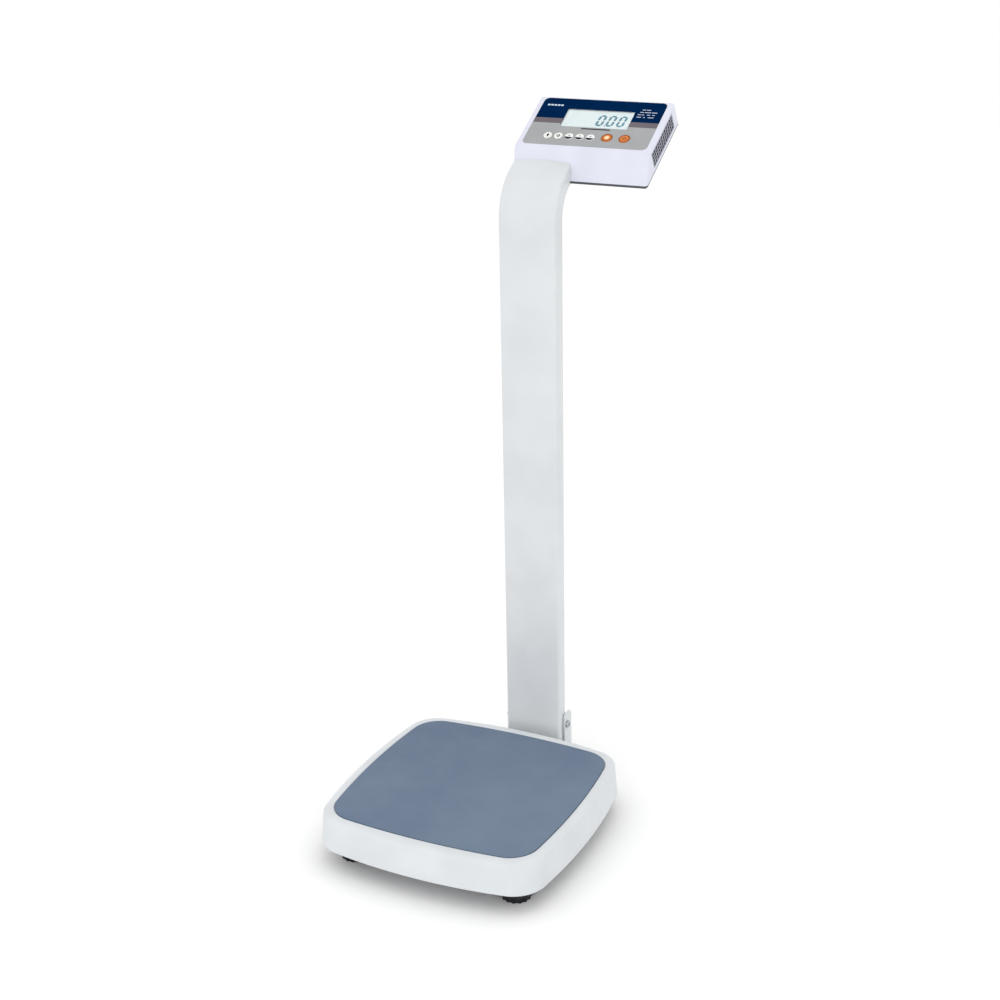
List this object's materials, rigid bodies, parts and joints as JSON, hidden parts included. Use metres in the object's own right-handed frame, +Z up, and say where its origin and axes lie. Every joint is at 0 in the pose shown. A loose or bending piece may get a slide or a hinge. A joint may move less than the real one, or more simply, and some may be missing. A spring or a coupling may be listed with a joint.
{
  "type": "column weighing scale",
  "caption": "Electronic column scale for weighing people: low platform with a mat on levelling feet, bent-top column behind it and a tilted indicator with display and keys.",
  "frame": {"origin": "on the floor, under the middle of the outline seen from above; the platform is in front of it and the column behind", "axes": "+Z up, +Y from the platform towards the column, +X to the right of a person who faces the column"},
  "size_m": [0.368, 0.575, 1.0199],
  "materials": {
    "white_shell": "satin injection-moulded shell",
    "mat_rubber": "fine-textured matt blue-grey mat",
    "white_paint": "satin powder coat",
    "column_coat": "satin white powder coat on an extruded aluminium profile",
    "frame_steel": "grey coated steel",
    "zinc": "bright zinc plate",
    "cell_aluminium": "machined",
    "head_white": "cool white moulding",
    "head_grey": "dark grey moulding",
    "label": "printed film, navy band over grey",
    "window": "clear acrylic lens",
    "lcd": "pale liquid-crystal display",
    "board": "green circuit board",
    "black_rubber": "matt",
    "foot_pad": "matt foot pad",
    "foot_wheel": "black nylon",
    "black_nylon": "black moulding",
    "battery": "shrink sleeve",
    "vial": "tinted bubble vial",
    "pale_key": "pale grey key",
    "orange_key": "orange key"
  },
  "bodies": {
    "base": {"spine_plate": "frame_steel", "front_rail": "frame_steel", "rear_rail": "frame_steel", "stop_screw_front_left": "zinc", "stop_screw_front_right": "zinc", "stop_screw_rear_left": "zinc", "stop_screw_rear_right": "zinc", "load_cell": "cell_aluminium", "cell_spacer_lower": "frame_steel", "cell_bolt_lower_1": "zinc", "cell_bolt_lower_2": "zinc", "foot_bracket": "white_paint", "bracket_bolt_left": "zinc", "bracket_bolt_right": "zinc", "column": "column_coat", "column_screw_left": "zinc", "column_screw_right": "zinc", "spirit_level": "vial", "spine_grommet": "black_rubber", "load_cell_cable": "black_rubber", "neck_block": "black_nylon", "neck_screw_1": "zinc", "neck_screw_2": "zinc", "indicator_rear_cover": "head_grey", "indicator_front_cover": "head_white", "cover_screw_1": "zinc", "cover_screw_2": "zinc", "cover_screw_3": "zinc", "cover_screw_4": "zinc", "keypad_overlay": "label", "display_window": "window", "display_panel": "lcd", "main_board": "board", "key_contact_strip": "black_rubber", "battery_pack": "battery", "battery_door": "head_grey", "power_socket": "black_nylon", "side_vent": "head_grey", "cable_grommet": "black_rubber"},
    "platform": {"platform_carrier": "frame_steel", "cell_spacer_upper": "frame_steel", "cell_bolt_upper_1": "zinc", "cell_bolt_upper_2": "zinc", "platform_cover": "white_shell", "platform_mat": "mat_rubber"},
    "foot_pad_front_left": {"foot_pad_front_left": "foot_pad"},
    "foot_wheel_front_left": {"foot_wheel_front_left": "foot_wheel"},
    "foot_pad_front_right": {"foot_pad_front_right": "foot_pad"},
    "foot_wheel_front_right": {"foot_wheel_front_right": "foot_wheel"},
    "foot_pad_rear_left": {"foot_pad_rear_left": "foot_pad"},
    "foot_wheel_rear_left": {"foot_wheel_rear_left": "foot_wheel"},
    "foot_pad_rear_right": {"foot_pad_rear_right": "foot_pad"},
    "foot_wheel_rear_right": {"foot_wheel_rear_right": "foot_wheel"},
    "key_1": {"key_1": "pale_key"},
    "key_2": {"key_2": "pale_key"},
    "key_3": {"key_3": "pale_key"},
    "key_4": {"key_4": "pale_key"},
    "key_5": {"key_5": "pale_key"},
    "key_tare": {"key_tare": "orange_key"},
    "key_power": {"key_power": "orange_key"}
  },
  "joints": [
    {"name": "platform_press", "type": "slide", "parent": "base", "child": "platform", "axis": [0, 0, -1], "range_m": [0, 0.00025], "stiffness_N_per_m": 400000, "springref_m": -0.0002},
    {"name": "foot_extend_front_left", "type": "slide", "parent": "base", "child": "foot_pad_front_left", "axis": [0, 0, -1], "range_m": [0, 0.008]},
    {"name": "foot_turn_front_left", "type": "hinge", "parent": "foot_pad_front_left", "child": "foot_wheel_front_left", "pos_m": [-0.128, -0.22571, 0.0145], "axis": [0, 0, -1], "range_deg": [0, 1920]},
    {"name": "foot_extend_front_right", "type": "slide", "parent": "base", "child": "foot_pad_front_right", "axis": [0, 0, -1], "range_m": [0, 0.008]},
    {"name": "foot_turn_front_right", "type": "hinge", "parent": "foot_pad_front_right", "child": "foot_wheel_front_right", "pos_m": [0.128, -0.22571, 0.0145], "axis": [0, 0, -1], "range_deg": [0, 1920]},
    {"name": "foot_extend_rear_left", "type": "slide", "parent": "base", "child": "foot_pad_rear_left", "axis": [0, 0, -1], "range_m": [0, 0.008]},
    {"name": "foot_turn_rear_left", "type": "hinge", "parent": "foot_pad_rear_left", "child": "foot_wheel_rear_left", "pos_m": [-0.128, 0.02229, 0.0145], "axis": [0, 0, -1], "range_deg": [0, 1920]},
    {"name": "foot_extend_rear_right", "type": "slide", "parent": "base", "child": "foot_pad_rear_right", "axis": [0, 0, -1], "range_m": [0, 0.008]},
    {"name": "foot_turn_rear_right", "type": "hinge", "parent": "foot_pad_rear_right", "child": "foot_wheel_rear_right", "pos_m": [0.128, 0.02229, 0.0145], "axis": [0, 0, -1], "range_deg": [0, 1920]},
    {"name": "key_1_press", "type": "slide", "parent": "base", "child": "key_1", "axis": [0, 0.5, -0.866], "range_m": [0, 0.0006], "stiffness_N_per_m": 2000, "springref_m": -0.0004},
    {"name": "key_2_press", "type": "slide", "parent": "base", "child": "key_2", "axis": [0, 0.5, -0.866], "range_m": [0, 0.0006], "stiffness_N_per_m": 2000, "springref_m": -0.0004},
    {"name": "key_3_press", "type": "slide", "parent": "base", "child": "key_3", "axis": [0, 0.5, -0.866], "range_m": [0, 0.0006], "stiffness_N_per_m": 2000, "springref_m": -0.0004},
    {"name": "key_4_press", "type": "slide", "parent": "base", "child": "key_4", "axis": [0, 0.5, -0.866], "range_m": [0, 0.0006], "stiffness_N_per_m": 2000, "springref_m": -0.0004},
    {"name": "key_5_press", "type": "slide", "parent": "base", "child": "key_5", "axis": [0, 0.5, -0.866], "range_m": [0, 0.0006], "stiffness_N_per_m": 2000, "springref_m": -0.0004},
    {"name": "key_tare_press", "type": "slide", "parent": "base", "child": "key_tare", "axis": [0, 0.5, -0.866], "range_m": [0, 0.0006], "stiffness_N_per_m": 2000, "springref_m": -0.0004},
    {"name": "key_power_press", "type": "slide", "parent": "base", "child": "key_power", "axis": [0, 0.5, -0.866], "range_m": [0, 0.0006], "stiffness_N_per_m": 2000, "springref_m": -0.0004}
  ],
  "couplings": [
    {"joint": "foot_extend_front_left", "follows": "foot_turn_front_left", "m_per_rad": 0.00023873},
    {"joint": "foot_extend_front_right", "follows": "foot_turn_front_right", "m_per_rad": 0.00023873},
    {"joint": "foot_extend_rear_left", "follows": "foot_turn_rear_left", "m_per_rad": 0.00023873},
    {"joint": "foot_extend_rear_right", "follows": "foot_turn_rear_right", "m_per_rad": 0.00023873}
  ]
}
